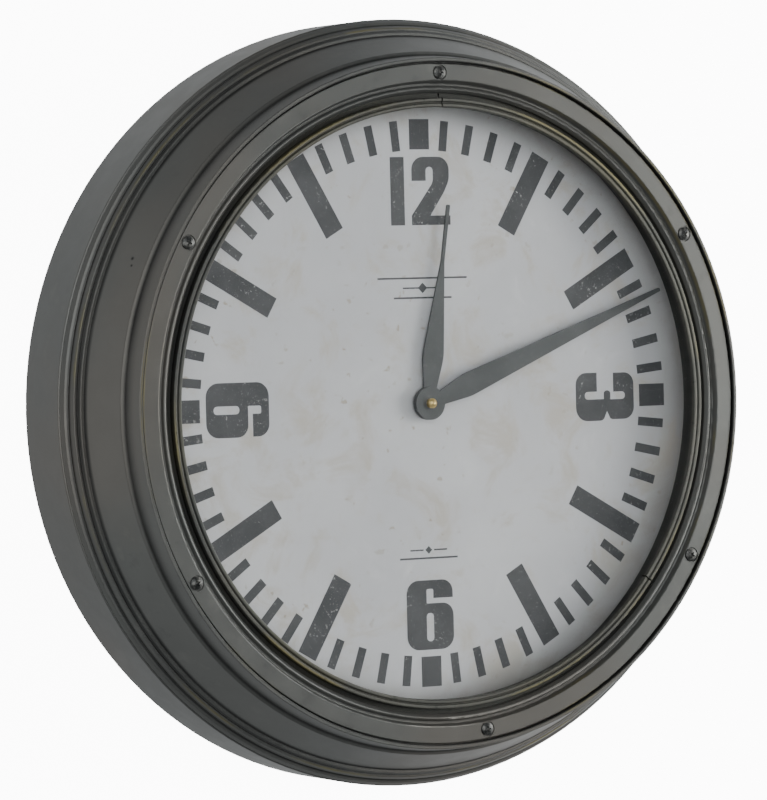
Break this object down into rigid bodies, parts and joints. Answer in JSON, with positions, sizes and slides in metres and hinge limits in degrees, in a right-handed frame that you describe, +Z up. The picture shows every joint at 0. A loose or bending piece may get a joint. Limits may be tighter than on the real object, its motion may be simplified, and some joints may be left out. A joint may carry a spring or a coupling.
{
  "type": "wall clock",
  "caption": "Round industrial wall clock: spun steel case with screwed bezel, glass, aged dial, leaf hands and a quartz gear movement behind the dial.",
  "frame": {"origin": "centre of the back, on the plane of the wall", "axes": "+Z up, -Y out of the wall towards the room, +X to the right as the dial is read"},
  "size_m": [0.51, 0.107, 0.51],
  "materials": {
    "gunmetal": "aged gunmetal, worn to brass-grey on its edges",
    "trim": "aged gunmetal with olive patina",
    "black_steel": "matt black paint",
    "back_steel": "matt black powder coat",
    "glass": "clear float glass",
    "rubber": "matt",
    "screw_steel": "blackened steel",
    "zinc": "zinc plated",
    "aluminium": "plain",
    "board": "raw fibreboard",
    "dial_paper": "aged printed sheet, pale grey with slate marks",
    "hand_paint": "slate grey paint",
    "brass": "turned brass",
    "gear_plastic": "natural acetal",
    "black_plastic": "moulded, fine texture",
    "bobbin_plastic": "natural nylon",
    "magnet": "sintered",
    "core_steel": "soft iron lamination",
    "copper": "enamelled copper wire",
    "circuit_green": "solder mask",
    "battery": "plain wrapped cell"
  },
  "bodies": {
    "case_group": {"case_shell": "gunmetal", "bezel_ring": "gunmetal", "trim_ring_short": "trim", "trim_ring_long": "trim", "dial_surround": "black_steel", "glass": "glass", "glass_gasket": "rubber", "bezel_screws": "screw_steel", "clamp_spacers": "zinc", "dial_clamps": "zinc", "clamp_nuts": "zinc", "dial_board": "board", "dial_face": "dial_paper", "rear_ring": "gunmetal", "back_plate": "back_steel", "back_screws": "screw_steel", "wall_pads": "rubber", "hanger_plate": "zinc", "hanger_rivets": "aluminium", "movement_front": "black_plastic", "movement_rear": "black_plastic", "movement_bush": "brass", "rubber_washer": "rubber", "brass_washer": "brass", "bush_nut": "brass", "middle_plate": "gear_plastic", "stator": "core_steel", "coil_core": "core_steel", "coil_bobbin": "bobbin_plastic", "coil_winding": "copper", "circuit_board": "circuit_green", "timing_chip": "black_plastic", "quartz_crystal": "zinc", "battery_cell": "battery", "battery_contact_plus": "zinc", "battery_contact_minus": "zinc"},
    "minute_group": {"minute_arbor": "brass", "minute_hand": "hand_paint", "hand_nut": "brass"},
    "hour_group": {"hour_wheel": "gear_plastic", "hour_hand": "hand_paint"},
    "motion_group": {"minute_wheel": "gear_plastic", "setting_knob": "black_plastic"},
    "centre_group": {"centre_wheel": "gear_plastic"},
    "third_group": {"third_wheel": "gear_plastic"},
    "second_group": {"second_wheel": "gear_plastic"},
    "intermediate_group": {"intermediate_wheel": "gear_plastic"},
    "rotor_group": {"rotor_pinion": "gear_plastic", "rotor_magnet": "magnet"}
  },
  "joints": [
    {"name": "minute_hand_spin", "type": "hinge", "parent": "case_group", "child": "minute_group", "pos_m": [0, -0.065, 0], "axis": [0, 1, 0], "continuous": true},
    {"name": "hour_hand_spin", "type": "hinge", "parent": "case_group", "child": "hour_group", "pos_m": [0, -0.065, 0], "axis": [0, 1, 0], "continuous": true},
    {"name": "setting_knob_spin", "type": "hinge", "parent": "case_group", "child": "motion_group", "pos_m": [0, -0.065, 0.012], "axis": [0, 1, 0], "continuous": true},
    {"name": "second_wheel_spin", "type": "hinge", "parent": "case_group", "child": "second_group", "pos_m": [0, -0.065, 0], "axis": [0, 1, 0], "continuous": true},
    {"name": "third_wheel_spin", "type": "hinge", "parent": "case_group", "child": "third_group", "pos_m": [-0.0108, -0.065, 0], "axis": [0, 1, 0], "continuous": true},
    {"name": "centre_wheel_spin", "type": "hinge", "parent": "case_group", "child": "centre_group", "pos_m": [0, -0.065, 0], "axis": [0, 1, 0], "continuous": true},
    {"name": "intermediate_wheel_spin", "type": "hinge", "parent": "case_group", "child": "intermediate_group", "pos_m": [0.0084, -0.065, 0], "axis": [0, 1, 0], "continuous": true},
    {"name": "rotor_spin", "type": "hinge", "parent": "case_group", "child": "rotor_group", "pos_m": [0.01529, -0.065, -0.00122], "axis": [0, 1, 0], "continuous": true}
  ],
  "couplings": [
    {"joint": "hour_hand_spin", "follows": "minute_hand_spin", "ratio": 0.083333},
    {"joint": "setting_knob_spin", "follows": "minute_hand_spin", "ratio": -0.33333},
    {"joint": "third_wheel_spin", "follows": "second_wheel_spin", "ratio": -0.13333},
    {"joint": "centre_wheel_spin", "follows": "second_wheel_spin", "ratio": 0.016667},
    {"joint": "intermediate_wheel_spin", "follows": "second_wheel_spin", "ratio": -5},
    {"joint": "rotor_spin", "follows": "second_wheel_spin", "ratio": 30}
  ]
}
